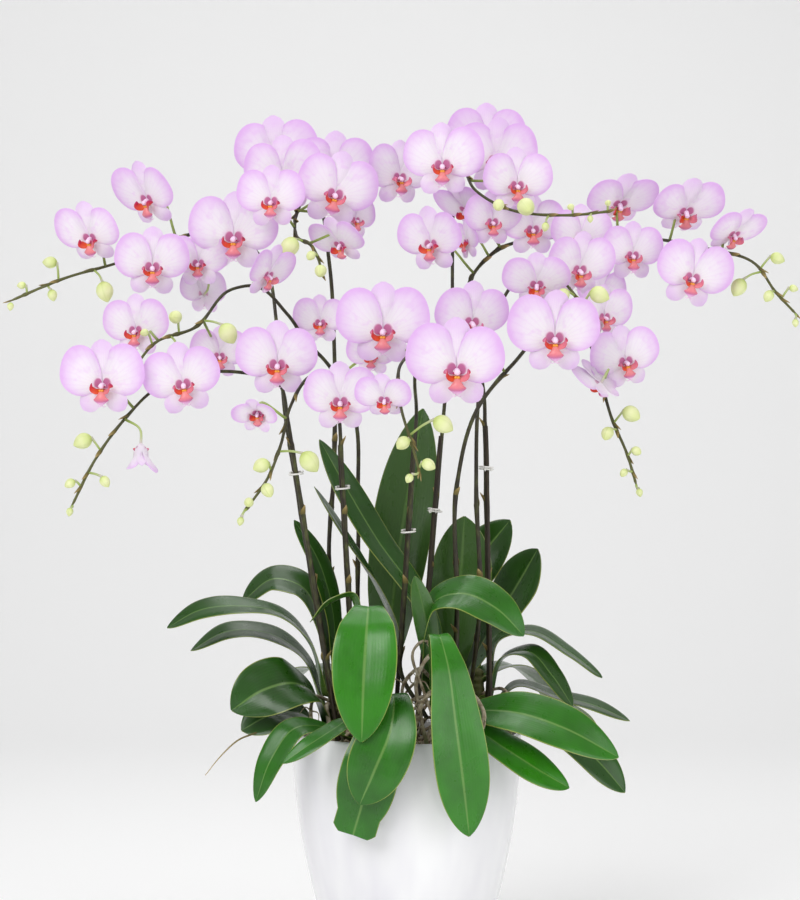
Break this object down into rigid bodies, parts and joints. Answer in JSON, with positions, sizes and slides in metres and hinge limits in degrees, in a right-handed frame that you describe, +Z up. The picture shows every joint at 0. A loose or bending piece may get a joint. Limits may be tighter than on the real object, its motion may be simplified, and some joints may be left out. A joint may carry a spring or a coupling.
{
  "type": "potted orchid",
  "caption": "White glazed tulip pot planted with moth orchids: arching flower spikes of pale lilac flowers with red lips, end buds, broad strap leaves and dark supports.",
  "frame": {"origin": "centre of the pot's flat foot, on the surface it stands on", "axes": "+Z up, the flowers' show side faces -Y, +X to the right of someone who looks at that side"},
  "size_m": [0.8282, 0.3959, 0.9098],
  "materials": {
    "pot_glaze": "glossy white glaze",
    "bark_and_moss": "rough bark chips and moss",
    "crown": "matt green-brown",
    "leaf": "thick glossy leaf",
    "flower_spike": "soft matt petals",
    "stick": "dark satin",
    "clip": "satin"
  },
  "bodies": {
    "root": {"pot": "pot_glaze", "potting_medium": "bark_and_moss", "crown_back_left": "crown", "crown_back_right": "crown", "crown_front_left": "crown", "crown_front_right": "crown", "crown_left": "crown", "crown_right": "crown", "leaf_back_far_left": "leaf", "leaf_back_far_right": "leaf", "leaf_back_left": "leaf", "leaf_back_low": "leaf", "leaf_back_right": "leaf", "leaf_centre_right": "leaf", "leaf_front_left": "leaf", "leaf_front_left_hem": "leaf", "leaf_front_left_low": "leaf", "leaf_front_right": "leaf", "leaf_left_arch": "leaf", "leaf_left_broad": "leaf", "leaf_left_broad_low": "leaf", "leaf_left_down": "leaf", "leaf_left_long": "leaf", "leaf_left_long_low": "leaf", "leaf_left_small": "leaf", "leaf_right_arch": "leaf", "leaf_right_far": "leaf", "leaf_right_front": "leaf", "leaf_right_front_low": "leaf", "leaf_right_tip": "leaf", "leaf_right_under": "leaf", "leaf_rim_narrow": "leaf", "leaf_strap_lower": "leaf", "leaf_strap_upper": "leaf", "leaf_tall": "leaf", "leaf_upright_centre": "leaf", "leaf_upright_right": "leaf", "leaf_upright_right_low": "leaf", "spike_centre": "flower_spike", "spike_centre_left": "flower_spike", "spike_far_right": "flower_spike", "spike_lower_left": "flower_spike", "spike_lower_right": "flower_spike", "spike_middle_left": "flower_spike", "spike_middle_right": "flower_spike", "spike_top_left": "flower_spike", "spike_upper_left": "flower_spike", "spike_upper_right": "flower_spike", "stick_centre": "stick", "stick_centre_left": "stick", "stick_centre_right": "stick", "stick_left": "stick", "stick_right": "stick", "clip_centre": "clip", "clip_centre_left": "clip", "clip_centre_right": "clip", "clip_left": "clip", "clip_right": "clip"}
  },
  "joints": []
}
